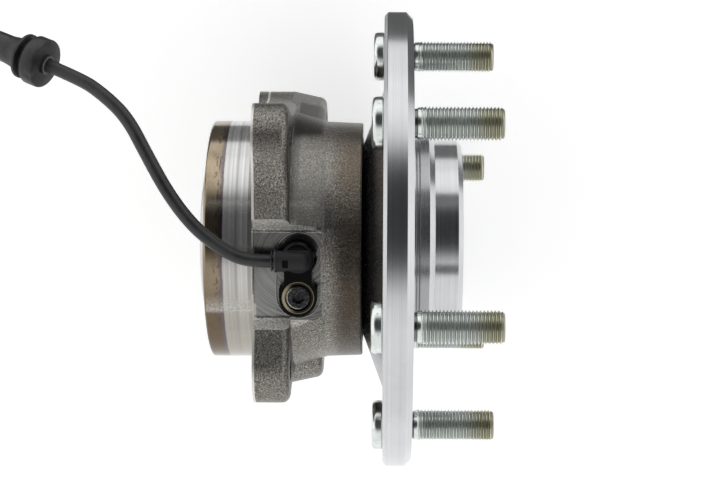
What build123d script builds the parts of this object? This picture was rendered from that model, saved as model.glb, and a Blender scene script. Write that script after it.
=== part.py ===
from build123d import *
import math
import os

# Wheel hub bearing unit: a driven front hub for a six-stud wheel, with its speed sensor and cable.
# The spin axis is Y, +Y is outboard, the sensor points along +Z, and the origin is the centre of the
# face that bolts to the knuckle.

# Bearing rows: the pitch circle sets every race, land, seal bore and cage
PITCH_RADIUS = 31.5
BALL_RADIUS = 5.556
BALL_COUNT = 14
CONTACT_ANGLE = 40.0
GROOVE_RADIUS = BALL_RADIUS + 0.194
RACE_GAP = 0.03
CENTRE_LAND_RADIUS = PITCH_RADIUS + 3.1
COUNTERBORE_RADIUS = PITCH_RADIUS + 5.4
SEAL_BORE_RADIUS = COUNTERBORE_RADIUS + 1.6
SEAL_BORE_DEPTH = 5.6
INNER_SHOULDER_RADIUS = PITCH_RADIUS - 3.1
INNER_LAND_RADIUS = PITCH_RADIUS - 4.9
CAGE_INNER_RADIUS = PITCH_RADIUS - 1.7
CAGE_OUTER_RADIUS = PITCH_RADIUS + 1.7
CAGE_RIM = 7.2
CAGE_PRONG = 2.0

# Outer ring: barrel and spigot
RING_WALL = 12.8
BARREL_RADIUS = PITCH_RADIUS + RING_WALL
BARREL_TAPER = 0.6
BARREL_LENGTH = 38.1
SPIGOT_LENGTH = 17.9
SPIGOT_CORNER = 1.2
OUTBOARD_ROW_Y = BARREL_LENGTH - 10.7
INBOARD_ROW_Y = -SPIGOT_LENGTH + 14.1

# Outer ring: mounting flange and the cast bosses in front of it
KNUCKLE_PCD = 114.0
KNUCKLE_HOLE_RADIUS = 5.4
MOUNT_FLANGE_THICKNESS = 12.9
FLANGE_EDGE_ROUND = 3.0
LOBE_RADIUS = 13.1
FLANGE_WAIST = 50.0
WAIST_BLEND = 34.0
BOSS_HEIGHT = 10.0
BOSS_ROUND = 3.0
BOSS_DRAFT = 2.8
SHOULDER_RISE = 3.4
SHOULDER_LENGTH = 12.6
TOP_BOSS_RADIUS = 13.2
TOP_BOSS_END_RADIUS = 6.2
TOP_BOSS_END_Z = 14.3
TOP_BOSS_END_X = -36.2
LOW_BOSS_RADIUS = 17.0
LOW_BOSS_Z = -5.0
LOW_BOSS_X = 39.5
LIP_DEPTH = 3.6
LIP_WIDTH = 4.6

# Hub: wheel flange, pilot and spindle
WHEEL_PCD = 139.7
STUD_COUNT = 6
STUD_PHASE = -17.34
WHEEL_FLANGE_RADIUS = 85.1
WHEEL_FLANGE_THICKNESS = 10.4
FLANGE_STANDOFF = 7.7
WHEEL_FACE_Y = BARREL_LENGTH + FLANGE_STANDOFF + WHEEL_FLANGE_THICKNESS
RIM_CHAMFER_OUTBOARD = 2.3
RIM_CHAMFER_INBOARD = 1.3
CONE_BASE_RADIUS = 56.4
CONE_TIP_RADIUS = INNER_SHOULDER_RADIUS + 5.6
CONE_DEPTH = 8.2
DISC_PILOT_RADIUS = 39.5
DISC_PILOT_LENGTH = 6.2
WHEEL_PILOT_RADIUS = 37.5
PILOT_LENGTH = 18.3
PILOT_CHAMFER = 1.8
PILOT_STEP = 2.0
RELIEF_DEPTH = 0.5
RELIEF_WIDTH = 1.1
RELIEF_START = 1.3
NUT_RECESS_RADIUS = 28.0
NUT_RECESS_DEPTH = 24.0
INNER_SEAT_RADIUS = 21.5
INNER_RING_LENGTH = 23.7
INNER_RING_END_Y = -SPIGOT_LENGTH - 2.8
INNER_RING_CORNER = 2.0
SPINDLE_INSET = 1.2

# Drive spline
SPLINE_MAJOR_RADIUS = 15.6
SPLINE_MINOR_RADIUS = 14.2
SPLINE_TEETH = 28
SPLINE_SPACE_SHARE = 0.5

# Wheel studs
STUD_THREAD_RADIUS = 5.87
STUD_SHANK_RADIUS = 6.15
STUD_REACH = 31.0
STUD_TIP_CHAMFER = 1.2
STUD_HEAD_RADIUS = 9.2
STUD_HEAD_HEIGHT = 4.1
STUD_HEAD_ROUND = 1.4

# Tone ring, inside the ring's centre land
TONE_TEETH = 48
TONE_OUTER_RADIUS = CENTRE_LAND_RADIUS - 2.6
TONE_TOOTH_HEIGHT = 2.4
TONE_WIDTH = 7.0
TONE_CENTRE_Y = OUTBOARD_ROW_Y - 11.8
TONE_SPACE_SHARE = 0.5

# Seals
SEAL_WALL = 0.8
SEAL_WIDTH = 4.3
SEAL_WEB_RADIUS = PITCH_RADIUS
LIP_CLEARANCE = 0.05
LIP_BACK = 1.6
SLINGER_GAP = 0.5
INBOARD_SEAL_WIDTH = 5.8

# Sensor seat on the barrel
PAD_HEIGHT = BARREL_RADIUS - 2.3
SENSOR_Y = TONE_CENTRE_Y + 0.3
PAD_END_Y = SENSOR_Y + 8.1
PAD_START_X = -9.1
PAD_END_X = 23.3
PAD_FLOOR_FILLET = 2.0
PAD_CORNER = 3.0
RAMP_EDGE_X = -13.7
SENSOR_RECESS_RADIUS = 7.9
SENSOR_RECESS_DEPTH = 1.5
SENSOR_BORE_RADIUS = 6.05
SENSOR_BORE_DEPTH = 5.0
SENSOR_FIT = 0.05
SENSOR_TIP_RADIUS = 4.5
SENSOR_TIP_FIT = 0.2
SENSOR_AIR_GAP = 0.8

# Sensor body
HEAD_RADIUS = 5.7
HEAD_TOP = PAD_HEIGHT + 8.6
BASE_RADIUS = 6.8
EAR_RADIUS = 6.7
EAR_THICKNESS = 6.0
EAR_OFFSET = 14.6
EAR_SHOULDER = 3.4
NECK_WIDTH = 9.8
NOTCH_WIDTH = 3.4
NOTCH_DEPTH = 1.6
BUSH_RADIUS = 5.7
BUSH_COUNTERBORE = 4.75
BUSH_FLOOR = 1.6
SCREW_RADIUS = 2.5
SCREW_HEAD_RADIUS = 4.3
SCREW_HEAD_HEIGHT = 4.2
SCREW_SOCKET_ACROSS = 4.0
SCREW_SOCKET_DEPTH = 2.6
SCREW_DEPTH = 7.0
OUTLET_RADIUS = 3.9
OUTLET_TIP_RADIUS = 3.2
OUTLET_X = 1.0
OUTLET_Z = PAD_HEIGHT + 7.2
OUTLET_END_Y = SENSOR_Y - 7.2
OUTLET_DOME_Y = SENSOR_Y + 3.7
WINDOW_LENGTH = 2.0
WINDOW_WIDTH = 2.8
WINDOW_OFFSET = 0.7
WINDOW_Y = SENSOR_Y - 4.1
WINDOW_DEPTH = 1.0
COLLAR_RADIUS = 4.15
COLLAR_LENGTH = 2.1
O_RING_SECTION = 0.9
O_RING_DROP = 3.0
O_RING_WIDTH = 2.1

# Cable
CABLE_RADIUS = 2.4
FLOOR_Z = -WHEEL_FLANGE_RADIUS
COIL_X = -50.0
COIL_Y = -173.0
COIL_STRAND = 4.9
COIL_INNER_RADIUS = 16.2
GROMMET_START = 14.0
GROMMET_DISC_RADIUS = 9.6
GROMMET_DISC_WIDTH = 5.4
GROMMET_NECK_RADIUS = 6.4
GROMMET_NECK_WIDTH = 2.8
GROMMET_RIM_RADIUS = 8.8
GROMMET_RIM_WIDTH = 1.2
GROMMET_HORN_RADIUS = 7.4
GROMMET_HORN_LENGTH = 6.2
GROMMET_NOSE_RADIUS = 3.5
GROMMET_NOSE_WIDTH = 1.2
SLEEVE_RADIUS = 5.1
SLEEVE_LENGTH = 14.0

# Connector
PLUG_LENGTH = 27.0
PLUG_WIDTH = 16.0
PLUG_HEIGHT = 14.4
PLUG_ROUND = 2.4
PLUG_WALL = 1.6
PLUG_MOUTH_DEPTH = 14.0
PIN_SPACING = 5.0
PIN_SIZE = 1.2
PIN_LENGTH = 9.0
PLUG_SEAL_RADIUS = 4.6
PLUG_SEAL_LENGTH = 6.0
LATCH_LENGTH = 14.0
LATCH_WIDTH = 7.0
LATCH_THICKNESS = 1.6


def across(y):
    """Plane square to the spin axis at y, with local x along Z and local y along X."""
    return Plane(origin=(0, y, 0), x_dir=(0, 0, 1), z_dir=(0, 1, 0))


def turned(*corners):
    """Solid of revolution about the spin axis from (radius, y) or (radius, y, round) corners."""
    face = make_face(Polyline([(c[0], c[1]) for c in corners], close=True))
    for corner in corners:
        if len(corner) == 3:
            nearest = face.vertices().sort_by_distance((corner[0], corner[1], 0))[0]
            face = fillet(nearest, corner[2])
    return revolve(face, Axis.Y)


def groove(row_y, side, radius, y_sign):
    """Torus that cuts a race: side +1 is the outer race, -1 the inner race."""
    offset = GROOVE_RADIUS - BALL_RADIUS - RACE_GAP
    angle = math.radians(CONTACT_ANGLE)
    centre_radius = PITCH_RADIUS - side * offset * math.cos(angle)
    centre_y = row_y + side * y_sign * offset * math.sin(angle)
    return Pos(0, centre_y, 0) * Rot(90, 0, 0) * Torus(centre_radius, radius)


lobe = KNUCKLE_PCD / 2 * math.sin(math.radians(45))
boss_top_y = MOUNT_FLANGE_THICKNESS + BOSS_HEIGHT
inner_seal_y = -SPIGOT_LENGTH
nodes = {}

# ---------------------------------------------------------------- outer ring
corners = [(z, x) for z in (-lobe, lobe) for x in (-lobe, lobe)]
outline = Rectangle(2 * FLANGE_WAIST, 2 * FLANGE_WAIST)
cut_corner = FLANGE_WAIST - lobe
for z, x in corners:
    outline -= Pos(math.copysign(lobe + cut_corner / 2, z), math.copysign(lobe + cut_corner / 2, x)) * Rectangle(
        cut_corner, cut_corner
    )
outline += [Pos(z, x) * Circle(LOBE_RADIUS) for z, x in corners]
crossing = lobe - math.sqrt(LOBE_RADIUS**2 - (FLANGE_WAIST - lobe) ** 2)
waist_points = [
    v
    for v in outline.vertices()
    if min(abs(abs(v.X) - crossing) + abs(abs(v.Y) - FLANGE_WAIST), abs(abs(v.Y) - crossing) + abs(abs(v.X) - FLANGE_WAIST))
    < 0.01
]
outline = fillet(waist_points, WAIST_BLEND)
mount_flange = extrude(across(0) * outline, MOUNT_FLANGE_THICKNESS)
mount_flange = fillet(mount_flange.edges().group_by(Axis.Y)[-1], FLANGE_EDGE_ROUND)

barrel = turned(
    (0, -SPIGOT_LENGTH),
    (BARREL_RADIUS, -SPIGOT_LENGTH, SPIGOT_CORNER),
    (BARREL_RADIUS, boss_top_y),
    (BARREL_RADIUS - BARREL_TAPER, BARREL_LENGTH, 0.8),
    (0, BARREL_LENGTH),
)
shoulder_start_y = MOUNT_FLANGE_THICKNESS - FLANGE_EDGE_ROUND
shoulder = turned(
    (0, shoulder_start_y),
    (BARREL_RADIUS + SHOULDER_RISE, shoulder_start_y),
    (BARREL_RADIUS + SHOULDER_RISE, MOUNT_FLANGE_THICKNESS),
    (BARREL_RADIUS - 0.2, MOUNT_FLANGE_THICKNESS + SHOULDER_LENGTH),
    (0, MOUNT_FLANGE_THICKNESS + SHOULDER_LENGTH),
)
body = mount_flange + barrel + shoulder


def boss(base, tip):
    """Drafted cast boss from the flange's front face, with a rounded end."""
    solid = loft([across(shoulder_start_y) * base, across(boss_top_y) * tip])
    return fillet(solid.edges().group_by(Axis.Y)[-1], BOSS_ROUND)


def bridged(first, first_radius, second, second_radius):
    """Outline of two circles joined by their common tangents."""
    circles = Pos(*first) * Circle(first_radius) + Pos(*second) * Circle(second_radius)
    return make_hull(circles.edges())


top_boss_end = (TOP_BOSS_END_Z, TOP_BOSS_END_X)
body += boss(
    bridged((-lobe, -lobe), TOP_BOSS_RADIUS, top_boss_end, TOP_BOSS_END_RADIUS),
    bridged((-lobe, -lobe), TOP_BOSS_RADIUS - BOSS_DRAFT, top_boss_end, TOP_BOSS_END_RADIUS - BOSS_DRAFT),
)
low_boss = Pos(LOW_BOSS_Z, LOW_BOSS_X)
body += boss(low_boss * Circle(LOW_BOSS_RADIUS), low_boss * Circle(LOW_BOSS_RADIUS - BOSS_DRAFT))
lip_edge = -lobe - LOBE_RADIUS + LIP_WIDTH
lip_outline = Pos(-lobe, -lobe) * Circle(LOBE_RADIUS) - Pos(-lobe, lip_edge + LOBE_RADIUS) * Rectangle(
    2 * LOBE_RADIUS, 2 * LOBE_RADIUS
)
body += extrude(across(-LIP_DEPTH) * lip_outline, LIP_DEPTH + 1.0)

pad = Pos(PAD_END_X / 2, PAD_END_Y / 2, PAD_HEIGHT / 2) * Box(PAD_END_X, PAD_END_Y, PAD_HEIGHT)
pad = fillet(pad.edges().filter_by(Axis.Z).sort_by(lambda e: e.center().X + e.center().Y)[-1], PAD_CORNER)
body += pad

ramp = (FLANGE_WAIST - PAD_HEIGHT) / (PAD_START_X - RAMP_EDGE_X)
clear_top = PAD_HEIGHT + 18.0
pocket = make_face(
    Polyline(
        [
            (PAD_HEIGHT, PAD_START_X),
            (clear_top, PAD_START_X - (clear_top - PAD_HEIGHT) / ramp),
            (clear_top, PAD_END_X + (clear_top - PAD_HEIGHT) / 4),
            (PAD_HEIGHT, PAD_END_X),
        ],
        close=True,
    )
)
pocket = fillet(pocket.vertices().group_by(Axis.X)[0], PAD_FLOOR_FILLET)
body -= extrude(across(-0.5) * pocket, PAD_END_Y + 0.5)

outboard_seal_y = BARREL_LENGTH - SEAL_BORE_DEPTH
inboard_seal_y = -SPIGOT_LENGTH + INBOARD_SEAL_WIDTH + 0.4
body -= turned(
    (0, -SPIGOT_LENGTH - 1),
    (SEAL_BORE_RADIUS, -SPIGOT_LENGTH - 1),
    (SEAL_BORE_RADIUS, inboard_seal_y),
    (COUNTERBORE_RADIUS, inboard_seal_y),
    (COUNTERBORE_RADIUS, INBOARD_ROW_Y),
    (CENTRE_LAND_RADIUS, INBOARD_ROW_Y),
    (CENTRE_LAND_RADIUS, OUTBOARD_ROW_Y),
    (COUNTERBORE_RADIUS, OUTBOARD_ROW_Y),
    (COUNTERBORE_RADIUS, outboard_seal_y),
    (SEAL_BORE_RADIUS, outboard_seal_y),
    (SEAL_BORE_RADIUS, BARREL_LENGTH + 1),
    (0, BARREL_LENGTH + 1),
)
body -= groove(OUTBOARD_ROW_Y, 1, GROOVE_RADIUS, 1)
body -= groove(INBOARD_ROW_Y, 1, GROOVE_RADIUS, -1)
for z, x in corners:
    body -= Pos(x, boss_top_y + 1, z) * Rot(90, 0, 0) * Cylinder(
        KNUCKLE_HOLE_RADIUS, boss_top_y + 2, align=(Align.CENTER, Align.CENTER, Align.MIN)
    )

recess_floor = PAD_HEIGHT - SENSOR_RECESS_DEPTH
bore_floor = PAD_HEIGHT - SENSOR_BORE_DEPTH
tip_z = TONE_OUTER_RADIUS + SENSOR_AIR_GAP


def upright(x, y, radius, bottom, top):
    """Cylinder along Z between two heights."""
    return Pos(x, y, bottom) * Cylinder(radius, top - bottom, align=(Align.CENTER, Align.CENTER, Align.MIN))


recess_outline = Pos(0, SENSOR_Y) * Circle(SENSOR_RECESS_RADIUS)
recess_outline += Pos(EAR_OFFSET, SENSOR_Y) * Circle(SENSOR_RECESS_RADIUS)
recess_outline += Pos(EAR_OFFSET / 2, SENSOR_Y) * Rectangle(EAR_OFFSET, 2 * SENSOR_RECESS_RADIUS)
body -= extrude(Pos(0, 0, recess_floor) * recess_outline, 10.0)
body -= upright(0, SENSOR_Y, SENSOR_BORE_RADIUS, bore_floor, PAD_HEIGHT)
body -= upright(0, SENSOR_Y, SENSOR_TIP_RADIUS + SENSOR_TIP_FIT, 0, PAD_HEIGHT)
screw_bottom = PAD_HEIGHT - SCREW_DEPTH
body -= upright(EAR_OFFSET, SENSOR_Y, SCREW_RADIUS, screw_bottom, PAD_HEIGHT + 1)
nodes["outer_ring"] = body

# ---------------------------------------------------------------- hub
spindle_end_y = INNER_RING_END_Y + SPINDLE_INSET
inner_ring_start_y = INNER_RING_END_Y + INNER_RING_LENGTH
flange_back_y = WHEEL_FACE_Y - WHEEL_FLANGE_THICKNESS
cone_tip_y = flange_back_y - CONE_DEPTH
pilot_step_y = WHEEL_FACE_Y + DISC_PILOT_LENGTH
pilot_end_y = WHEEL_FACE_Y + PILOT_LENGTH
recess_floor_y = pilot_end_y - NUT_RECESS_DEPTH
relief_y = WHEEL_FACE_Y + RELIEF_START
hub = turned(
    (SPLINE_MINOR_RADIUS, spindle_end_y),
    (INNER_SEAT_RADIUS, spindle_end_y),
    (INNER_SEAT_RADIUS, inner_ring_start_y),
    (INNER_LAND_RADIUS, inner_ring_start_y),
    (INNER_LAND_RADIUS, OUTBOARD_ROW_Y),
    (INNER_SHOULDER_RADIUS, OUTBOARD_ROW_Y),
    (INNER_SHOULDER_RADIUS, cone_tip_y - 1.0, 1.0),
    (CONE_TIP_RADIUS, cone_tip_y),
    (CONE_BASE_RADIUS, flange_back_y, 3.0),
    (WHEEL_FLANGE_RADIUS - RIM_CHAMFER_INBOARD, flange_back_y),
    (WHEEL_FLANGE_RADIUS, flange_back_y + RIM_CHAMFER_INBOARD),
    (WHEEL_FLANGE_RADIUS, WHEEL_FACE_Y - RIM_CHAMFER_OUTBOARD),
    (WHEEL_FLANGE_RADIUS - RIM_CHAMFER_OUTBOARD, WHEEL_FACE_Y),
    (DISC_PILOT_RADIUS, WHEEL_FACE_Y),
    (DISC_PILOT_RADIUS, relief_y),
    (DISC_PILOT_RADIUS - RELIEF_DEPTH, relief_y + RELIEF_DEPTH),
    (DISC_PILOT_RADIUS - RELIEF_DEPTH, relief_y + RELIEF_WIDTH),
    (DISC_PILOT_RADIUS, relief_y + RELIEF_WIDTH + RELIEF_DEPTH),
    (DISC_PILOT_RADIUS, pilot_step_y),
    (WHEEL_PILOT_RADIUS, pilot_step_y + (DISC_PILOT_RADIUS - WHEEL_PILOT_RADIUS)),
    (WHEEL_PILOT_RADIUS, pilot_end_y - PILOT_CHAMFER),
    (WHEEL_PILOT_RADIUS - PILOT_CHAMFER, pilot_end_y),
    (NUT_RECESS_RADIUS + 1.5, pilot_end_y),
    (NUT_RECESS_RADIUS, pilot_end_y - 1.5),
    (NUT_RECESS_RADIUS, recess_floor_y, 3.0),
    (SPLINE_MAJOR_RADIUS + 1.0, recess_floor_y),
    (SPLINE_MINOR_RADIUS, recess_floor_y - 2.4),
)
hub -= groove(OUTBOARD_ROW_Y, -1, GROOVE_RADIUS, 1)
space_angle = math.tau / SPLINE_TEETH * SPLINE_SPACE_SHARE
half_root = SPLINE_MINOR_RADIUS * math.sin(space_angle / 2) * 1.15
half_tip = half_root * 0.6
space = make_face(
    Polyline(
        [
            (SPLINE_MINOR_RADIUS - 0.6, -half_root),
            (SPLINE_MAJOR_RADIUS, -half_tip),
            (SPLINE_MAJOR_RADIUS, half_tip),
            (SPLINE_MINOR_RADIUS - 0.6, half_root),
        ],
        close=True,
    )
)
spline_plane = across(spindle_end_y - 1)
spline_length = recess_floor_y - spindle_end_y + 2
hub -= [extrude(spline_plane * spot * space, spline_length) for spot in PolarLocations(0, SPLINE_TEETH)]
stud_angles = [STUD_PHASE + k * 360 / STUD_COUNT for k in range(STUD_COUNT)]
stud_spots = [
    (
        -WHEEL_PCD / 2 * math.sin(math.radians(angle)),
        WHEEL_PCD / 2 * math.cos(math.radians(angle)),
    )
    for angle in stud_angles
]


def along(x, z, radius, start, end):
    """Cylinder along the spin axis between two values of y."""
    return Pos(x, end, z) * Rot(90, 0, 0) * Cylinder(radius, end - start, align=(Align.CENTER, Align.CENTER, Align.MIN))


for x, z in stud_spots:
    hub -= along(x, z, STUD_SHANK_RADIUS, flange_back_y - 1, WHEEL_FACE_Y + 1)
nodes["hub_flange"] = hub

inner_ring = turned(
    (INNER_SEAT_RADIUS, INNER_RING_END_Y, 0.8),
    (INNER_SHOULDER_RADIUS, INNER_RING_END_Y, INNER_RING_CORNER),
    (INNER_SHOULDER_RADIUS, INBOARD_ROW_Y),
    (INNER_LAND_RADIUS, INBOARD_ROW_Y),
    (INNER_LAND_RADIUS, inner_ring_start_y),
    (INNER_SEAT_RADIUS, inner_ring_start_y),
)
inner_ring -= groove(INBOARD_ROW_Y, -1, GROOVE_RADIUS, -1)
nodes["inner_ring"] = inner_ring

studs = []
for x, z in stud_spots:
    shank = along(x, z, STUD_SHANK_RADIUS, flange_back_y, WHEEL_FACE_Y)
    thread = along(x, z, STUD_THREAD_RADIUS, WHEEL_FACE_Y, WHEEL_FACE_Y + STUD_REACH)
    thread = chamfer(thread.edges().sort_by(Axis.Y)[-1], STUD_TIP_CHAMFER)
    head = along(x, z, STUD_HEAD_RADIUS, flange_back_y - STUD_HEAD_HEIGHT, flange_back_y)
    head = fillet(head.edges().filter_by(GeomType.CIRCLE).sort_by(Axis.Y)[0], STUD_HEAD_ROUND)
    studs.append(head + shank + thread)
nodes["wheel_studs"] = Compound(children=studs)

tone_start_y = TONE_CENTRE_Y - TONE_WIDTH / 2
tone_ring = turned(
    (INNER_LAND_RADIUS, tone_start_y),
    (TONE_OUTER_RADIUS, tone_start_y),
    (TONE_OUTER_RADIUS, tone_start_y + TONE_WIDTH),
    (INNER_LAND_RADIUS, tone_start_y + TONE_WIDTH),
)
gap_width = math.tau * TONE_OUTER_RADIUS / TONE_TEETH * TONE_SPACE_SHARE
tooth_gap = Pos(TONE_OUTER_RADIUS, 0) * Rectangle(2 * TONE_TOOTH_HEIGHT, gap_width)
tone_plane = across(tone_start_y - 1)
tone_ring -= [extrude(tone_plane * spot * tooth_gap, TONE_WIDTH + 2) for spot in PolarLocations(0, TONE_TEETH)]
nodes["tone_ring"] = tone_ring

# ---------------------------------------------------------------- balls and cages
for name, row_y, sign in (("outboard", OUTBOARD_ROW_Y, 1), ("inboard", INBOARD_ROW_Y, -1)):
    balls = []
    for k in range(BALL_COUNT):
        angle = math.tau * k / BALL_COUNT
        centre = (PITCH_RADIUS * math.sin(angle), row_y, PITCH_RADIUS * math.cos(angle))
        balls.append(Pos(*centre) * Sphere(BALL_RADIUS))
    cage = turned(
        (CAGE_INNER_RADIUS, row_y - sign * CAGE_RIM),
        (CAGE_OUTER_RADIUS, row_y - sign * CAGE_RIM),
        (CAGE_OUTER_RADIUS, row_y + sign * CAGE_PRONG),
        (CAGE_INNER_RADIUS, row_y + sign * CAGE_PRONG),
    )
    for k in range(BALL_COUNT):
        angle = math.tau * k / BALL_COUNT
        centre = (PITCH_RADIUS * math.sin(angle), row_y, PITCH_RADIUS * math.cos(angle))
        cage -= Pos(*centre) * Sphere(GROOVE_RADIUS)
    nodes[name + "_cage"] = cage
    nodes[name + "_balls"] = Compound(children=balls)

# ---------------------------------------------------------------- seals
case_inner = SEAL_BORE_RADIUS - SEAL_WALL
out_face = BARREL_LENGTH - 0.3
out_web = out_face - SEAL_WIDTH
nodes["outboard_seal_case"] = turned(
    (SEAL_BORE_RADIUS, out_web),
    (SEAL_BORE_RADIUS, out_face),
    (case_inner, out_face),
    (case_inner, out_web + SEAL_WALL, 0.5),
    (SEAL_WEB_RADIUS, out_web + SEAL_WALL),
    (SEAL_WEB_RADIUS, out_web),
)
lip_radius = INNER_SHOULDER_RADIUS + LIP_CLEARANCE
nodes["outboard_seal_lip"] = turned(
    (case_inner - 2.2, out_web + SEAL_WALL),
    (case_inner - 2.6, out_web + SEAL_WALL + 1.4),
    (SEAL_WEB_RADIUS + 1.2, out_web + SEAL_WALL + LIP_BACK),
    (lip_radius, out_web + SEAL_WALL + 1.0),
    (lip_radius, out_web + 0.3),
    (SEAL_WEB_RADIUS, out_web),
    (SEAL_WEB_RADIUS, out_web + SEAL_WALL),
)
in_face = inner_seal_y + 0.3
in_web = in_face + INBOARD_SEAL_WIDTH
nodes["inboard_seal_case"] = turned(
    (SEAL_BORE_RADIUS, in_face),
    (SEAL_BORE_RADIUS, in_web),
    (SEAL_WEB_RADIUS + 1.0, in_web),
    (SEAL_WEB_RADIUS + 1.0, in_web - SEAL_WALL),
    (case_inner, in_web - SEAL_WALL, 0.5),
    (case_inner, in_face),
)
slinger_inner = INNER_SHOULDER_RADIUS + SEAL_WALL
nodes["inboard_slinger"] = turned(
    (INNER_SHOULDER_RADIUS, in_face),
    (case_inner - SLINGER_GAP, in_face),
    (case_inner - SLINGER_GAP, in_face + SEAL_WALL),
    (slinger_inner, in_face + SEAL_WALL, 0.5),
    (slinger_inner, in_web),
    (INNER_SHOULDER_RADIUS, in_web),
)
lip_in = slinger_inner + LIP_CLEARANCE
nodes["inboard_seal_lip"] = turned(
    (SEAL_WEB_RADIUS + 1.0, in_web),
    (SEAL_WEB_RADIUS + 1.0, in_web - SEAL_WALL),
    (case_inner - 2.2, in_web - SEAL_WALL),
    (case_inner - 2.6, in_web - SEAL_WALL - 1.4),
    (SEAL_WEB_RADIUS + 1.4, in_web - SEAL_WALL - LIP_BACK),
    (lip_in, in_web - SEAL_WALL - 1.0),
    (lip_in, in_web - 0.3),
)

# ---------------------------------------------------------------- speed sensor
ear_top = recess_floor + EAR_THICKNESS
probe_radius = SENSOR_BORE_RADIUS - SENSOR_FIT
base_outline = Pos(0, SENSOR_Y) * Circle(BASE_RADIUS)
base_outline -= Pos(0, SENSOR_Y + BASE_RADIUS) * Rectangle(NOTCH_WIDTH, 2 * NOTCH_DEPTH)
base_outline += Pos(EAR_OFFSET, SENSOR_Y) * Circle(EAR_RADIUS)
base_outline += Pos(EAR_OFFSET - EAR_SHOULDER / 2, SENSOR_Y) * Rectangle(EAR_SHOULDER, 2 * EAR_RADIUS)
base_outline += Pos(EAR_OFFSET / 2, SENSOR_Y) * Rectangle(EAR_OFFSET, NECK_WIDTH)
ear = extrude(Pos(0, 0, recess_floor) * base_outline, EAR_THICKNESS)
ear -= upright(EAR_OFFSET, SENSOR_Y, BUSH_RADIUS, recess_floor - 1, ear_top + 1)
head = upright(0, SENSOR_Y, HEAD_RADIUS, recess_floor, HEAD_TOP)
head = fillet(head.edges().filter_by(GeomType.CIRCLE).sort_by(Axis.Z)[-1], 1.6)
outlet_length = OUTLET_DOME_Y - OUTLET_END_Y
outlet = (
    Pos(OUTLET_X, OUTLET_DOME_Y, OUTLET_Z)
    * Rot(90, 0, 0)
    * Cone(OUTLET_TIP_RADIUS, OUTLET_RADIUS, outlet_length, align=(Align.CENTER, Align.CENTER, Align.MIN))
)
outlet = fillet(outlet.edges().filter_by(GeomType.CIRCLE).sort_by(Axis.Y)[-1], 2.2)
probe = upright(0, SENSOR_Y, probe_radius, bore_floor + SENSOR_FIT, recess_floor)
groove_top = PAD_HEIGHT - O_RING_DROP + O_RING_WIDTH / 2
o_ring_radius = probe_radius - O_RING_SECTION
ring_cut = upright(0, SENSOR_Y, probe_radius + 1, groove_top - O_RING_WIDTH, groove_top)
ring_cut -= upright(0, SENSOR_Y, o_ring_radius - O_RING_SECTION - 0.03, groove_top - O_RING_WIDTH, groove_top)
window = Pos(OUTLET_X + WINDOW_OFFSET, WINDOW_Y, OUTLET_Z + OUTLET_RADIUS) * Box(
    WINDOW_WIDTH, WINDOW_LENGTH, 2 * WINDOW_DEPTH
)
nodes["sensor_body"] = ear + head + outlet + probe - ring_cut - window
tip = upright(0, SENSOR_Y, SENSOR_TIP_RADIUS, tip_z, bore_floor + SENSOR_FIT)
nodes["sensor_tip"] = chamfer(tip.edges().filter_by(GeomType.CIRCLE).sort_by(Axis.Z)[0], 0.5)
nodes["sensor_o_ring"] = Pos(0, SENSOR_Y, groove_top - O_RING_WIDTH / 2) * Torus(o_ring_radius, O_RING_SECTION)
bush = upright(EAR_OFFSET, SENSOR_Y, BUSH_RADIUS, recess_floor, ear_top)
seat_z = recess_floor + BUSH_FLOOR
bush -= upright(EAR_OFFSET, SENSOR_Y, BUSH_COUNTERBORE, seat_z, ear_top + 1)
nodes["sensor_bush"] = bush - upright(EAR_OFFSET, SENSOR_Y, SCREW_RADIUS, recess_floor - 1, seat_z + 1)
screw = upright(EAR_OFFSET, SENSOR_Y, SCREW_RADIUS, screw_bottom, seat_z)
screw_head = upright(EAR_OFFSET, SENSOR_Y, SCREW_HEAD_RADIUS, seat_z, seat_z + SCREW_HEAD_HEIGHT)
screw_head = fillet(screw_head.edges().filter_by(GeomType.CIRCLE).sort_by(Axis.Z)[-1], 0.6)
socket = extrude(
    Pos(EAR_OFFSET, SENSOR_Y, seat_z + SCREW_HEAD_HEIGHT - SCREW_SOCKET_DEPTH)
    * RegularPolygon(SCREW_SOCKET_ACROSS / 2, 6, major_radius=False),
    SCREW_SOCKET_DEPTH + 1,
)
nodes["sensor_screw"] = screw + screw_head - socket
collar_start_y = OUTLET_END_Y - COLLAR_LENGTH
nodes["cable_collar"] = along(OUTLET_X, OUTLET_Z, COLLAR_RADIUS, collar_start_y, OUTLET_END_Y)

# ---------------------------------------------------------------- cable
coil_entry_x = COIL_X - COIL_INNER_RADIUS - 1.5 * COIL_STRAND
coil_entry_z = FLOOR_Z + COIL_STRAND / 2
# The route leaves the sensor over the spigot, swings to the top and droops to the surface below.
ROUTE = [
    (OUTLET_X, collar_start_y, OUTLET_Z),
    (OUTLET_X, collar_start_y - 6.0, OUTLET_Z),
    (-0.5, -5.7, OUTLET_Z + 0.7),
    (-5.4, -13.1, OUTLET_Z + 2.1),
    (-12.2, -20.7, OUTLET_Z + 3.0),
    (-22.8, -28.8, 51.0),
    (-35.5, -36.1, 48.3),
    (-48.2, -43.2, 44.7),
    (-55.9, -51.8, 40.9),
    (-61.9, -61.3, 37.2),
    (-79.8, -112.4, 16.8),
    (-81.2, -119.8, 11.4),
    (-81.6, -125.2, 4.0),
    (-79.2, -133.0, -31.0),
    (-76.4, -138.8, -66.4),
    (-75.4, -144.4, -74.1),
    (-74.3, -152.1, -79.7),
    (coil_entry_x, COIL_Y + 11.9, coil_entry_z),
    (coil_entry_x, COIL_Y, coil_entry_z),
]


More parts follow.
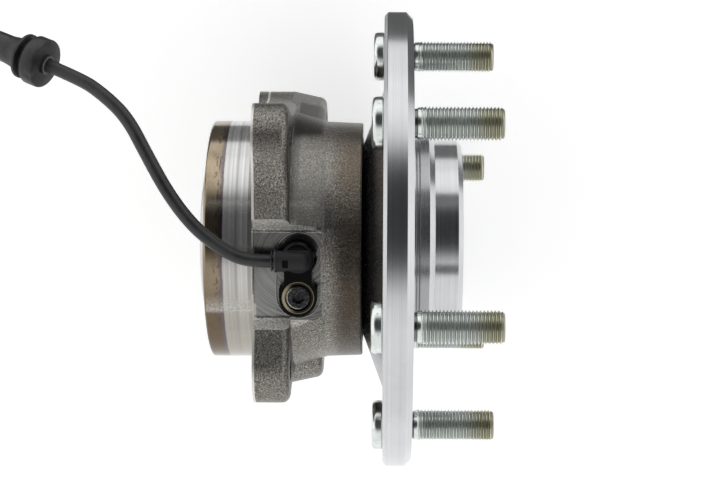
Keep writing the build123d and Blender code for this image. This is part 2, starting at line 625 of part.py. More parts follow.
def corner_radii(points):
    """Largest fair arc at each corner: 0.45 of the shorter run over the tangent of half the turn."""
    radii = []
    for before, here, after in zip(points, points[1:], points[2:]):
        first = Vector(here) - Vector(before)
        second = Vector(after) - Vector(here)
        turn = math.radians(first.get_angle(second))
        radii.append(0.45 * min(first.length, second.length) / math.tan(turn / 2))
    return radii


def cable_tube(points, radius):
    """Round tube along straight runs joined by tangent arcs."""
    radii = corner_radii(points)
    path = FilletPolyline(*points, radius=radii)
    start = Plane(origin=points[0], z_dir=Vector(points[1]) - Vector(points[0]))
    tube = sweep(start * Circle(radius), path=path)
    print("corner radii", [round(r, 1) for r in radii])
    print("length", round(path.length, 1), "volume share", round(tube.volume / (math.pi * radius**2 * path.length), 4))
    return tube


nodes["sensor_cable"] = cable_tube(ROUTE, CABLE_RADIUS)

ring_one = COIL_INNER_RADIUS + COIL_STRAND
ring_two = COIL_INNER_RADIUS + 2 * COIL_STRAND


def coil_strand(inner, outer, bottom, start_angle, sweep_angle):
    """Part ring of the coil with flat ends, rounded on its outer corners."""
    section = Plane.XZ * Pos((inner + outer) / 2, bottom + COIL_STRAND / 2) * Rectangle(outer - inner, COIL_STRAND)
    ring = revolve(section, Axis.Z, sweep_angle)
    return Pos(COIL_X, COIL_Y, 0) * Rot(0, 0, start_angle) * ring


coil = coil_strand(COIL_INNER_RADIUS, ring_one, FLOOR_Z, 0, 360)
coil += coil_strand(ring_one, ring_two, FLOOR_Z, 180, 322)
coil += coil_strand(ring_one - 2.4, ring_two - 2.4, FLOOR_Z + COIL_STRAND, 180, 90)
nodes["cable_coil"] = coil

tail_z = FLOOR_Z + 1.5 * COIL_STRAND
tail_y = COIL_Y - ring_two + 2.4 + COIL_STRAND / 2
TAIL = [
    (COIL_X, tail_y, tail_z),
    (COIL_X + 10.5, tail_y, tail_z),
    (COIL_X + 21.0, tail_y - 3.4, tail_z),
    (COIL_X + 31.5, tail_y - 3.4, tail_z),
]
nodes["cable_tail"] = cable_tube(TAIL, CABLE_RADIUS)

# Grommet and sleeve on the long straight run
run_start = Vector(ROUTE[9])
run_dir = (Vector(ROUTE[10]) - run_start).normalized()
grommet_frame = Plane(origin=run_start + run_dir * GROMMET_START, z_dir=run_dir)
rim_start = GROMMET_DISC_WIDTH + GROMMET_NECK_WIDTH
horn_start = rim_start + GROMMET_RIM_WIDTH
sleeve_start = horn_start + GROMMET_HORN_LENGTH
horn_middle = (GROMMET_HORN_RADIUS + 2 * SLEEVE_RADIUS) / 3
grommet_profile = make_face(
    Polyline(
        [
            (CABLE_RADIUS, 0, -GROMMET_NOSE_WIDTH),
            (GROMMET_NOSE_RADIUS, 0, -GROMMET_NOSE_WIDTH),
            (GROMMET_NOSE_RADIUS, 0, 0),
            (GROMMET_DISC_RADIUS - 0.8, 0, 0),
            (GROMMET_DISC_RADIUS, 0, 0.8),
            (GROMMET_DISC_RADIUS, 0, GROMMET_DISC_WIDTH - 0.4),
            (GROMMET_DISC_RADIUS - 0.4, 0, GROMMET_DISC_WIDTH),
            (GROMMET_NECK_RADIUS, 0, GROMMET_DISC_WIDTH),
            (GROMMET_NECK_RADIUS, 0, rim_start),
            (GROMMET_RIM_RADIUS, 0, rim_start),
            (GROMMET_RIM_RADIUS, 0, horn_start),
            (GROMMET_HORN_RADIUS, 0, horn_start),
            (horn_middle, 0, horn_start + GROMMET_HORN_LENGTH / 3),
            (SLEEVE_RADIUS, 0, sleeve_start),
            (CABLE_RADIUS, 0, sleeve_start),
        ],
        close=True,
    )
)
nodes["cable_grommet"] = grommet_frame.location * revolve(grommet_profile, Axis.Z)
sleeve = Pos(0, 0, sleeve_start) * Cylinder(SLEEVE_RADIUS, SLEEVE_LENGTH, align=(Align.CENTER, Align.CENTER, Align.MIN))
sleeve -= Cylinder(CABLE_RADIUS, 100)
nodes["cable_sleeve"] = grommet_frame.location * sleeve

# ---------------------------------------------------------------- connector
plug_dir = (Vector(TAIL[-1]) - Vector(TAIL[-2])).normalized()
plug_angle = math.degrees(math.atan2(plug_dir.Y, plug_dir.X))
plug_at = Pos(*TAIL[-1]) * Rot(0, 0, plug_angle)
plug_low = FLOOR_Z - TAIL[-1][2]
plug_mid = plug_low + PLUG_HEIGHT / 2
seal = Rot(0, 90, 0) * Cylinder(PLUG_SEAL_RADIUS, PLUG_SEAL_LENGTH, align=(Align.CENTER, Align.CENTER, Align.MIN))
nodes["connector_seal"] = plug_at * seal
shell_centre = PLUG_SEAL_LENGTH + PLUG_LENGTH / 2
shell = Pos(shell_centre, 0, plug_mid) * Box(PLUG_LENGTH, PLUG_WIDTH, PLUG_HEIGHT)
shell = fillet(shell.edges().filter_by(Axis.X), PLUG_ROUND)
mouth_x = PLUG_SEAL_LENGTH + PLUG_LENGTH - PLUG_MOUTH_DEPTH / 2
mouth = Pos(mouth_x, 0, plug_mid) * Box(PLUG_MOUTH_DEPTH, PLUG_WIDTH - 2 * PLUG_WALL, PLUG_HEIGHT - 2 * PLUG_WALL)
nodes["connector_shell"] = plug_at * (shell - mouth)
pin_root = PLUG_SEAL_LENGTH + PLUG_LENGTH - PLUG_MOUTH_DEPTH
pins = []
for side in (-1, 1):
    pin = Pos(pin_root + PIN_LENGTH / 2, side * PIN_SPACING / 2, plug_mid) * Box(PIN_LENGTH, PIN_SIZE, PIN_SIZE)
    pins.append(plug_at * pin)
nodes["connector_pins"] = Compound(children=pins)
latch_x = shell_centre + PLUG_LENGTH / 2 - LATCH_LENGTH / 2 - 2.0
latch = Pos(latch_x, 0, plug_low + PLUG_HEIGHT + LATCH_THICKNESS / 2) * Box(LATCH_LENGTH, LATCH_WIDTH, LATCH_THICKNESS)
nodes["connector_latch"] = plug_at * chamfer(latch.edges().group_by(Axis.Z)[-1], 0.5)

# ---------------------------------------------------------------- export
os.makedirs("parts", exist_ok=True)
for name, solid in nodes.items():
    export_step(solid, "parts/" + name + ".step")
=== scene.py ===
import math

import bmesh
import bpy
from mathutils import Matrix, Vector


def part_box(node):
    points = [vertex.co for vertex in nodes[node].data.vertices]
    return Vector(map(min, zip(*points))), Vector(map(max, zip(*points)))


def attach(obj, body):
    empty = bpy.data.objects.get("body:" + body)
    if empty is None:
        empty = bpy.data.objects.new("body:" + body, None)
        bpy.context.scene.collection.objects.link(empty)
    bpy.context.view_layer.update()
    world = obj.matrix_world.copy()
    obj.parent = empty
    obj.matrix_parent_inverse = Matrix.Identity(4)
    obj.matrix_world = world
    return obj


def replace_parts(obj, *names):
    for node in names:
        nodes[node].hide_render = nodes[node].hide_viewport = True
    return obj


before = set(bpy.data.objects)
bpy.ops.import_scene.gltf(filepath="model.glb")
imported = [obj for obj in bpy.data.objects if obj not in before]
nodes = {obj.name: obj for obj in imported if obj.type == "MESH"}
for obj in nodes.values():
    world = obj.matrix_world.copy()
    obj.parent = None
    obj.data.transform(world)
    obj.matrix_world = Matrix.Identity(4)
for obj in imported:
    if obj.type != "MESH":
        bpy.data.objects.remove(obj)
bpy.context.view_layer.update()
mm = 0.001

# The studio: a pale floor that the flange's rim rests on, pale walls and a darker ceiling, so that turned
# steel shows light flanks and a dark middle band. The camera looks down on the unit from the sensor's side,
# and a dark card lies beside the unit for the polished faces to reflect.
floor_z = -85.1 * mm
image_width = 720
camera_target = Vector((0, 47.1 * mm, 0))
camera_distance = 0.620
camera_tilt = math.radians(8)
camera_roll = math.radians(0.3)
camera_data = bpy.data.cameras.new("camera")
camera_data.sensor_width = 36
camera_data.lens = 81.93
camera_data.shift_x = -27 / image_width
camera_data.shift_y = -1 / image_width
camera = bpy.data.objects.new("camera", camera_data)
bpy.context.scene.collection.objects.link(camera)
back = Vector((-math.sin(camera_tilt), 0, math.cos(camera_tilt)))
image_up = Vector((-math.cos(camera_tilt), 0, -math.sin(camera_tilt)))
image_right = Vector((0, 1, 0))
turn = Matrix((image_right, image_up, back)).transposed()
roll = Matrix.Rotation(camera_roll, 3, back)
camera.matrix_world = Matrix.Translation(camera_target + back * camera_distance) @ (roll @ turn).to_4x4()
bpy.context.scene.camera = camera
bpy.context.scene.view_settings.view_transform = "Standard"

ceiling_tilt = math.radians(20)
ceiling_levels = ((0.60, 1.0), (0.77, 0.80), (0.84, 0.45), (0.905, 0.11), (0.95, 0.035))
world = bpy.data.worlds.new("studio")
bpy.context.scene.world = world
world.use_nodes = True
sky = world.node_tree
direction = sky.nodes.new("ShaderNodeTexCoord")
toward_ceiling = sky.nodes.new("ShaderNodeVectorMath")
toward_ceiling.operation = "DOT_PRODUCT"
toward_ceiling.inputs[1].default_value = (-math.sin(ceiling_tilt), 0, math.cos(ceiling_tilt))
sky.links.new(direction.outputs["Generated"], toward_ceiling.inputs[0])
shade = sky.nodes.new("ShaderNodeValToRGB")
shade.color_ramp.elements[0].position = 0.0
shade.color_ramp.elements[0].color = (1.0, 1.0, 1.0, 1)
shade.color_ramp.elements[1].position = 1.0
shade.color_ramp.elements[1].color = (0.03, 0.03, 0.033, 1)
for place, level in ceiling_levels:
    stop = shade.color_ramp.elements.new(place)
    stop.color = (level, level, level, 1)
sky.links.new(toward_ceiling.outputs["Value"], shade.inputs[0])
sides = sky.nodes.new("ShaderNodeSeparateXYZ")
sky.links.new(direction.outputs["Generated"], sides.inputs[0])
side_level = sky.nodes.new("ShaderNodeMapRange")
for name, value in (("From Min", -0.1), ("From Max", 0.5), ("To Min", 1.32), ("To Max", 1.05)):
    side_level.inputs[name].default_value = value
sky.links.new(sides.outputs["X"], side_level.inputs["Value"])
sky.links.new(shade.outputs[0], sky.nodes["Background"].inputs["Color"])
sky.links.new(side_level.outputs[0], sky.nodes["Background"].inputs["Strength"])


def laid_flat(name, width, length, place, level, glow=0.0):
    """A matt grey or white sheet of the studio's, lying flat."""
    sheet = bmesh.new()
    bmesh.ops.create_grid(sheet, x_segments=1, y_segments=1, size=0.5)
    bmesh.ops.scale(sheet, verts=sheet.verts, vec=(width, length, 1))
    bmesh.ops.translate(sheet, verts=sheet.verts, vec=place)
    piece = bpy.data.objects.new(name, bpy.data.meshes.new(name))
    sheet.to_mesh(piece.data)
    sheet.free()
    bpy.context.scene.collection.objects.link(piece)
    material = bpy.data.materials.new(name)
    material.use_nodes = True
    sockets = material.node_tree.nodes["Principled BSDF"].inputs
    sockets["Base Color"].default_value = (level, level, level, 1)
    sockets["Roughness"].default_value = 0.9
    sockets["Emission Color"].default_value = (1, 1, 1, 1)
    sockets["Emission Strength"].default_value = glow
    piece.data.materials.append(material)
    return piece


laid_flat("floor", 6.0, 6.0, (0, 0, floor_z), 0.93, glow=0.36)
card = laid_flat("grey_card", 0.174, 0.55, (-0.181, 0.06, floor_z + 0.5 * mm), 0.16)
card.visible_camera = card.visible_diffuse = card.visible_shadow = False


# The sensor's cable: two cores in one round, matt black jacket, extruded over them. It leaves the sensor
# over the spigot, and the length that isn't needed lies in a small coil beside the unit.
class Signal:
    """A number that varies over a surface; arithmetic on it adds Math nodes."""

    def __init__(self, finish, socket):
        self.finish = finish
        self.socket = socket

    def math(self, operation, other=0.0, swap=False):
        first, second = (other, self) if swap else (self, other)
        return self.finish.node("ShaderNodeMath", {"operation": operation}, {0: first, 1: second})

    def __add__(self, other):
        return self.math("ADD", other)

    __radd__ = __add__

    def __sub__(self, other):
        return self.math("SUBTRACT", other)

    def __rsub__(self, other):
        return self.math("SUBTRACT", other, swap=True)

    def __mul__(self, other):
        return self.math("MULTIPLY", other)

    __rmul__ = __mul__

    def __truediv__(self, other):
        return self.math("DIVIDE", other)

    def __pow__(self, other):
        return self.math("POWER", other)

    def largest(self, other):
        return self.math("MAXIMUM", other)

    def hypot(self, other):
        return (self * self + other * other) ** 0.5

    def above(self, edge, width):
        """0 below the edge, 1 above it, with a soft step of that width."""
        settings = {"interpolation_type": "SMOOTHSTEP"}
        values = {"Value": self, "From Min": edge - width / 2, "From Max": edge + width / 2}
        return self.finish.node("ShaderNodeMapRange", settings, values)

    def below(self, edge, width):
        """1 below the edge, 0 above it, with a soft step of that width."""
        return 1 - self.above(edge, width)

    def band(self, low, low_width, high, high_width):
        """1 from the low edge to the high one and 0 outside, each with a soft step of its width."""
        return self.above(low, low_width) * self.below(high, high_width)


class Finish:
    """A surface finish: one material and the nodes that vary it."""

    def __init__(self, name, color, roughness, metallic=0.0):
        self.material = bpy.data.materials.new(name)
        self.material.use_nodes = True
        self.tree = self.material.node_tree
        self.shader = self.tree.nodes["Principled BSDF"]
        self.set("Base Color", (*color, 1))
        self.set("Roughness", roughness)
        self.set("Metallic", metallic)
        self.place = self.node("ShaderNodeTexCoord", output="Object")

    def put(self, socket, value):
        if isinstance(value, Signal):
            self.tree.links.new(value.socket, socket)
        else:
            socket.default_value = value

    def node(self, kind, settings=None, values=None, output=0):
        node = self.tree.nodes.new(kind)
        for key, value in (settings or {}).items():
            setattr(node, key, value)
        for key, value in (values or {}).items():
            self.put(node.inputs[key], value)
        return Signal(self, node.outputs[output])

    def set(self, name, value):
        self.put(self.shader.inputs[name], value)

    def split(self, vector):
        parts = self.node("ShaderNodeSeparateXYZ", None, {0: vector}).socket.node.outputs
        return [Signal(self, parts[k]) for k in "XYZ"]

    def millimetres(self):
        """The place on the surface, in millimetres of the part's frame."""
        return [axis * 1000 for axis in self.split(self.place)]

    def facing(self):
        """The direction that the surface faces."""
        return self.split(self.node("ShaderNodeTexCoord", output="Normal"))

    def vector(self, **axes):
        return self.node("ShaderNodeCombineXYZ", None, axes)

    def stretched(self, scale):
        return self.node("ShaderNodeMapping", None, {"Vector": self.place, "Scale": scale})

    def noise(self, scale, detail=3.0, roughness=0.5, position=None):
        values = {"Vector": position or self.place, "Scale": scale, "Detail": detail, "Roughness": roughness}
        return self.node("ShaderNodeTexNoise", None, values)

    def mix(self, amount, first, second):
        node = self.tree.nodes.new("ShaderNodeMix")
        node.data_type = "RGBA"
        self.put(node.inputs["Factor"], amount)
        for name, value in (("A", first), ("B", second)):
            socket = [s for s in node.inputs if s.name == name and s.type == "RGBA"][0]
            self.put(socket, value if isinstance(value, Signal) else (*value, 1))
        return Signal(self, [s for s in node.outputs if s.type == "RGBA"][0])

    def tinted(self, color, *tints):
        """The color with each tint laid over it in turn, as far as the tint's amount says."""
        for amount, tint in tints:
            color = self.mix(amount, color, tint)
        return color

    def bump(self, height, distance):
        return self.node("ShaderNodeBump", None, {"Height": height, "Distance": distance, "Strength": 1.0})


def dress(name, finish):
    """Give a CAD node its finish."""
    slots = nodes[name].data.materials
    slots.clear()
    slots.append(finish.material)


outlet_x, outlet_z = 1.0, 49.2
straight_from, straight_to = (-61.9, -61.3, 37.2), (-79.8, -112.4, 16.8)
cable_radius = 2.4
points = [
    (outlet_x, 6.6, outlet_z), (outlet_x, 0.6, outlet_z), (-0.5, -5.7, 49.9), (-5.4, -13.1, 51.3),
    (-12.2, -20.7, 52.2), (-22.8, -28.8, 51.0), (-35.5, -36.1, 48.3), (-48.2, -43.2, 44.7),
    (-55.9, -51.8, 40.9), straight_from, straight_to, (-81.2, -119.8, 11.4), (-81.6, -125.2, 4.0),
    (-79.2, -133.0, -31.0), (-76.4, -138.8, -66.4), (-75.4, -144.4, -74.1), (-74.3, -152.1, -79.7),
    (-73.55, -161.1, -82.65), (-73.55, -173.0, -82.65),
]
coil_x, coil_y, coil_z = -50.0, -173.0, -82.65
coil_step = 26
outer_turn, inner_turn, between_turns = 23.55, 18.7, 21.0
plug_z = -77.75
coil = [(180 + coil_step * k, outer_turn, coil_z) for k in range(1, 14)]
coil.append((180 + coil_step * 14, between_turns, coil_z))
coil += [(180 + coil_step * (14 + k), inner_turn, coil_z) for k in range(1, 15)]
coil += [(205, 20.5, -80.6), (230, 21.15, -78.4), (250, 21.15, plug_z)]
for angle, reach, z in coil:
    angle = math.radians(angle)
    points.append((coil_x + reach * math.cos(angle), coil_y + reach * math.sin(angle), z))
points += [(x, y, plug_z) for x, y in ((-50.0, -194.15), (-39.5, -194.15), (-29.0, -197.55), (-18.5, -197.55))]
jacket = Finish("cable_jacket", (0.01, 0.01, 0.011), 0.35)
handled = jacket.noise(160, 4.0, 0.6)
pores = jacket.noise(3000, 2.0)
jacket.set("Base Color", jacket.mix(handled.above(0.5, 0.4), (0.006, 0.0065, 0.008), (0.017, 0.0175, 0.019)))
jacket.set("Roughness", 0.30 + handled * 0.16)
jacket.set("Normal", jacket.bump(pores + handled, 0.00005))
curve = bpy.data.curves.new("cable", "CURVE")
curve.dimensions = "3D"
curve.bevel_depth = cable_radius * mm
curve.bevel_resolution = 6
curve.resolution_u = 12
curve.use_fill_caps = True
line = curve.splines.new("NURBS")
line.points.add(len(points) - 1)
for point, place in zip(line.points, points):
    point.co = (*[v * mm for v in place], 1)
line.order_u = 3
line.use_endpoint_u = True
cable = bpy.data.objects.new("cable", curve)
bpy.context.scene.collection.objects.link(cable)
curve.materials.append(jacket.material)
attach(cable, "housing")
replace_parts(cable, "sensor_cable", "cable_coil", "cable_tail")

# The outer ring: a steel forging with a grainy skin. The knuckle spigot and faces are ground, its rear end
# still has the straw and blue of induction hardening, and the sensor's seat is milled in fine arcs.
sensor_y = 15.9
slot_half = 7.3
forging = Finish("forged_ring", (0.3, 0.29, 0.27), 0.45, 1.0)
x, y, z = forging.millimetres()
radius = x.hypot(z)
from_sensor = y - sensor_y
facing_x, facing_y, facing_z = forging.facing()
grain = forging.noise(1500, 3.0, 0.7)
blotch = forging.noise(75, 4.0, 0.6)
speck = forging.noise(2300, 1.0, 0.5)

# the forged skin, a little rusty toward the flange, with painted shade in places and a painted light patch
rust = y.above(29.0 + 4 * (blotch - 0.5), 9.0) * (0.35 + blotch.above(0.45, 0.4) * 0.3)
# painted shade over the barrel's middle and its +x side
barrel_painted_shade = y.above(29.0, 6.0) * (x.above(0.0, 22.0) * 0.48 + x.band(-12.0, 10.0, 7.0, 12.0) * 0.38)
# painted shade on one boss's flank
boss_flank_painted_shade = y.band(13.4, 0.5, 23.5, 2.0) * x.band(-51.5, 2.0, -40.5, 2.5) * z.above(-26.0, 6.0)
# painted shade in the fillet beside the flange
fillet_painted_shade = y.band(13.0, 0.4, 15.8, 1.4) * x.below(-13.0, 3.0) * radius.below(48.5, 1.0) * z.above(5.0, 5.0)
# painted shade on the face above the sensor's seat
above_seat_painted_shade = y.band(15.5, 1.5, 27.5, 3.0) * x.band(-22.0, 14.0, -9.0, 2.0) * z.above(5.0, 5.0)
# a painted light patch on the skin beside the seat
painted_light_patch = y.band(14.0, 2.0, 26.0, 9.0) * x.band(-40.0, 4.0, -8.0, 16.0)
cast_color = forging.tinted(
    forging.mix(grain.above(0.5, 0.3), (0.08, 0.076, 0.067), (0.30, 0.286, 0.256)),
    (speck.above(0.64, 0.08) * 0.6, (0.72, 0.71, 0.68)),
    (blotch.above(0.52, 0.35) * 0.35, (0.13, 0.122, 0.105)),
    (rust, (0.12, 0.085, 0.055)),
    (barrel_painted_shade, (0.0, 0.0, 0.0)),
    (boss_flank_painted_shade * 0.9, (0.035, 0.033, 0.028)),
    (fillet_painted_shade * 0.6, (0.04, 0.038, 0.033)),
    (above_seat_painted_shade * 0.55, (0.03, 0.028, 0.025)),
    (painted_light_patch * 0.22, (0.46, 0.45, 0.42)),
)

# the ground faces, with two scored rings and painted shade that darkens and browns them toward +x, and the rear
# end's hardening colors
turning = forging.noise(1.0, 3.0, 0.65, forging.stretched((6, 800, 6)))
scored = y.band(-2.1, 0.4, -0.7, 0.5).largest(y.band(-6.7, 0.5, -5.7, 0.5) * 0.6)
side_painted_shade = x.above(10, 50)
ground_color = forging.tinted(
    forging.mix(turning.above(0.5, 0.4), (0.46, 0.46, 0.455), (0.72, 0.72, 0.715)),
    (scored * 0.6, (0.16, 0.155, 0.145)),
    (side_painted_shade * 0.85, (0.33, 0.305, 0.26)),
)
wander = forging.noise(260, 3.0, 0.6) - 0.5
hardened = (y + wander * 0.5).below(-10.9, 0.4)
scale_spots = forging.noise(1.0, 3.0, 0.65, forging.stretched((330, 900, 330))).below(0.43, 0.05)
straw = forging.tinted(
    forging.mix(forging.noise(120, 3.0, 0.6).above(0.5, 0.5), (0.28, 0.225, 0.155), (0.40, 0.33, 0.235)),
    (scale_spots * (y + wander * 4).above(-14.0, 2.5) * 0.8, (0.115, 0.085, 0.085)),
    (side_painted_shade * 0.95, (0.115, 0.082, 0.055)),
    ((y + wander * 1.2).above(-12.1, 1.3) * 0.7, (0.13, 0.115, 0.145)),
)

# the sensor's seat, milled around the sensor, with painted light on one side and a painted highlight along its
# slot's edge
arcs = forging.noise(1.0, 3.0, 0.7, forging.vector(X=x.hypot(from_sensor) * 2.6, Y=y * 0.05))
seat = z.band(39.0, 0.1, 42.2, 0.1) * x.above(-9.5, 0.4) * y.band(0.1, 0.1, 24.3, 0.2)
seat = seat * facing_z.above(0.985, 0.01)
# painted light: the seat's milled face is lighter toward +x and the rear
lit_side = x.above(4.5, 5.0) * y.below(9.0, 4.0)
milled_in_painted_shade = forging.mix(arcs.above(0.5, 0.3), (0.11, 0.11, 0.106), (0.38, 0.375, 0.36))
milled_in_painted_light = forging.mix(arcs.above(0.5, 0.35), (0.30, 0.30, 0.285), (0.56, 0.56, 0.54))
# a painted highlight along the edge of the sensor's slot
along_slot = x - slot_half
past_end = (along_slot.largest(along_slot * -1) - slot_half).largest(0.0)
slot_edge_painted_highlight = past_end.hypot(from_sensor).band(7.75, 0.1, 8.15, 0.15) * seat

# the ramps beside the seat, pale from a painted highlight on their walls, and where each finish lies
ramp_painted_highlight = facing_x.largest(facing_x * -1).above(0.45, 0.3) * facing_y.below(0.5, 0.2)
ramp_painted_highlight = ramp_painted_highlight * x.band(-19.0, 2.0, 26.0, 2.0) * y.below(22.0, 2.0) * z.above(39.0, 1.0)
ramp_highlight_color = forging.mix(grain.above(0.5, 0.3), (0.34, 0.33, 0.30), (0.92, 0.91, 0.87))
# a painted highlight along the flange's rear edge
rear_edge_painted_highlight = (y + wander * 0.3).below(0.85, 0.25) * y.above(-0.05, 0.05) * radius.above(45.5, 0.3)
spigot = y.below(-0.15, 0.1) * radius.below(46.0, 0.2)
faced = facing_y.below(-0.95, 0.05).largest(facing_y.above(0.95, 0.05) * y.above(37.5, 0.4))
bore = radius.below(39.5, 0.5)
ground = spigot.largest(faced).largest(bore)
machined = ground.largest(seat)
as_forged = 1 - machined
forging.set("Base Color", forging.tinted(
    cast_color,
    (ground, forging.mix(hardened, ground_color, straw)),
    (seat, forging.mix(lit_side * 0.8, milled_in_painted_shade, milled_in_painted_light)),
    (slot_edge_painted_highlight * 0.7, (0.62, 0.61, 0.58)),
    (rear_edge_painted_highlight * 0.85, (0.80, 0.78, 0.73)),
    (ramp_painted_highlight * 0.9, ramp_highlight_color),
))
forging.set("Metallic", 1 - ramp_painted_highlight * 0.8 - spigot * (1 - hardened) * 0.18 - lit_side * seat * 0.3)
forged_roughness = 0.34 - y.above(22.0, 16.0) * 0.08 + grain * 0.10
forging.set("Roughness", forged_roughness * as_forged + (0.10 + turning * 0.14) * machined)
pebbles = forging.noise(820, 2.0, 0.6) * y.above(17.0, 3.0) * 0.9
relief = (grain + speck * 0.3 + pebbles) * as_forged * 0.15 + turning * 0.006 * ground + arcs * 0.03 * seat
forging.set("Normal", forging.bump(relief, 0.001))
dress("outer_ring", forging)

# The two rows of balls: chrome steel, lapped to a mirror, with only the faintest haze. They roll in the
# ground grooves of the outer ring, the hub and the inner ring.
ball_steel = Finish("lapped_balls", (0.70, 0.70, 0.69), 0.06, 1.0)
haze = ball_steel.noise(900, 2.0)
ball_steel.set("Roughness", 0.04 + haze * 0.05)
ball_steel.set("Base Color", ball_steel.mix(haze, (0.66, 0.66, 0.65), (0.74, 0.74, 0.73)))
dress("outboard_balls", ball_steel)
dress("inboard_balls", ball_steel)

# The cages: glass-filled nylon snapped over the balls, amber brown with short fibres in its skin. Each is
# moulded in one piece, with a pocket for every ball of its row.
nylon = Finish("nylon_cage", (0.42, 0.26, 0.11), 0.45)
fibre = nylon.noise(1.0, 2.0, 0.5, nylon.stretched((2400, 500, 1800)))
nylon.set("Base Color", nylon.mix(fibre.above(0.55, 0.2), (0.33, 0.19, 0.075), (0.50, 0.34, 0.16)))
nylon.set("Roughness", 0.38 + fibre * 0.2)
nylon.set("Normal", nylon.bump(fibre, 0.00003))
dress("outboard_cage", nylon)
dress("inboard_cage", nylon)

# The hub: turned from one forging, with its wheel flange, pilot and spindle. Every turned face keeps the
# fine rings of the tool. The cone behind the flange is duller, from a coarse cut left as it was.
turned_steel = Finish("turned_hub", (0.6, 0.6, 0.6), 0.3, 1.0)
x, y, z = turned_steel.millimetres()
radius = x.hypot(z)
rings = turned_steel.noise(1.0, 5.0, 0.72, turned_steel.vector(X=radius * 1.5, Y=y * 1.9))
slow = turned_steel.noise(38, 3.0, 0.6)
smear = turned_steel.noise(140, 3.0, 0.6)
coarse = turned_steel.noise(900, 3.0, 0.6)
# painted shade: the pilot's band is a darker copy of the turned steel
pilot_painted_shade = y.band(57.2, 0.3, 62.3, 0.3) * radius.below(50.0, 0.5)
on_cone = y.band(30.0, 0.5, 45.7, 0.2) * radius.below(59.5, 0.6)
rear_corner = y.band(45.7, 0.1, 46.95, 0.1) * radius.above(83.4, 0.3)
turned_steel.set("Base Color", turned_steel.tinted(
    turned_steel.mix(rings.above(0.5, 0.6), (0.53, 0.54, 0.55), (0.65, 0.66, 0.67)),
    (slow.above(0.55, 0.3) * 0.22, (0.40, 0.40, 0.41)),
    (pilot_painted_shade * 0.6, (0.25, 0.255, 0.26)),
    (on_cone, turned_steel.mix(coarse.above(0.5, 0.4), (0.27, 0.27, 0.285), (0.38, 0.38, 0.40))),
))
fine_roughness = 0.12 + rings * 0.11 + smear * 0.05 + pilot_painted_shade * 0.08
turned_steel.set("Roughness", fine_roughness * (1 - on_cone) + (0.22 + coarse * 0.12) * on_cone)
turned_steel.set("Metallic", 1 - rear_corner * 0.65)
cut = rings * 0.011 * (1 - on_cone) + coarse * 0.02 * on_cone
turned_steel.set("Normal", turned_steel.bump(cut, 0.001))
dress("hub_flange", turned_steel)

# The inner ring: bearing steel, hardened and pressed on the spindle's end. Its face and corner are ground
# bright, with fine rings from the wheel.
race_steel = Finish("ground_race", (0.62, 0.61, 0.6), 0.18, 1.0)
x, y, z = race_steel.millimetres()
grinding = race_steel.noise(1.0, 4.0, 0.7, race_steel.vector(X=x.hypot(z) * 2.6, Y=y * 2.6))
race_steel.set("Base Color", race_steel.mix(grinding.above(0.5, 0.5), (0.52, 0.52, 0.51), (0.68, 0.67, 0.66)))
race_steel.set("Roughness", 0.14 + grinding * 0.12)
race_steel.set("Normal", race_steel.bump(grinding, 0.00001))
dress("inner_ring", race_steel)

# The wheel studs: M12 by 1.25, rolled threads on zinc-plated steel with a yellow-green passivate that
# shows at the tips. A serrated shank grips the flange, and the flat head sits against its back.
stud_pitch = 1.25 * mm
stud_crest = 5.87 * mm
stud_root = 5.12 * mm
stud_neck = 5.5 * mm
stud_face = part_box("wheel_studs")[1][1]
head_start, head_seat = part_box("wheel_studs")[0][1], 45.8 * mm
stud_foot = 56.2 * mm
neck_end = 59.2 * mm
turn_steps = 24
thread_lead_in = 2.2
run_out_length = 1.4 * mm
tip_radius, tip_slope = 4.85 * mm, 0.9
stud_circle = 139.7 * mm / 2
stud_count, stud_step, first_stud = 6, 60, -17.34
thread_turn = 1.1


def lathe(corners, steps=48):
    """Mesh of a profile of (radius, y) corners turned full circle about Y."""
    shape = bmesh.new()
    points = [shape.verts.new((corner[0], corner[1], 0)) for corner in corners]
    edges = [shape.edges.new(pair) for pair in zip(points, points[1:])]
    bmesh.ops.spin(
        shape, geom=points + edges, cent=(0, 0, 0), axis=(0, 1, 0), angle=math.tau, steps=steps, use_merge=True
    )
    bmesh.ops.remove_doubles(shape, verts=shape.verts, dist=1e-7)
    bmesh.ops.recalc_face_normals(shape, faces=shape.faces)
    return shape


def join(target, part):
    """Add a part's mesh to another."""
    scratch = bpy.data.meshes.new("scratch")
    part.to_mesh(scratch)
    part.free()
    target.from_mesh(scratch)
    bpy.data.meshes.remove(scratch)


def finished(name, shape, finish, body, smooth_angle=30):
    """Object of a mesh, smooth but for its sharp edges, with its finish and its body."""
    mesh = bpy.data.meshes.new(name)
    for face in shape.faces:
        face.smooth = True
    for edge in shape.edges:
        if len(edge.link_faces) == 2 and edge.calc_face_angle(0) > math.radians(smooth_angle):
            edge.smooth = False
    shape.to_mesh(mesh)
    shape.free()
    piece = bpy.data.objects.new(name, mesh)
    bpy.context.scene.collection.objects.link(piece)
    mesh.materials.append(finish.material)
    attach(piece, body)
    return piece


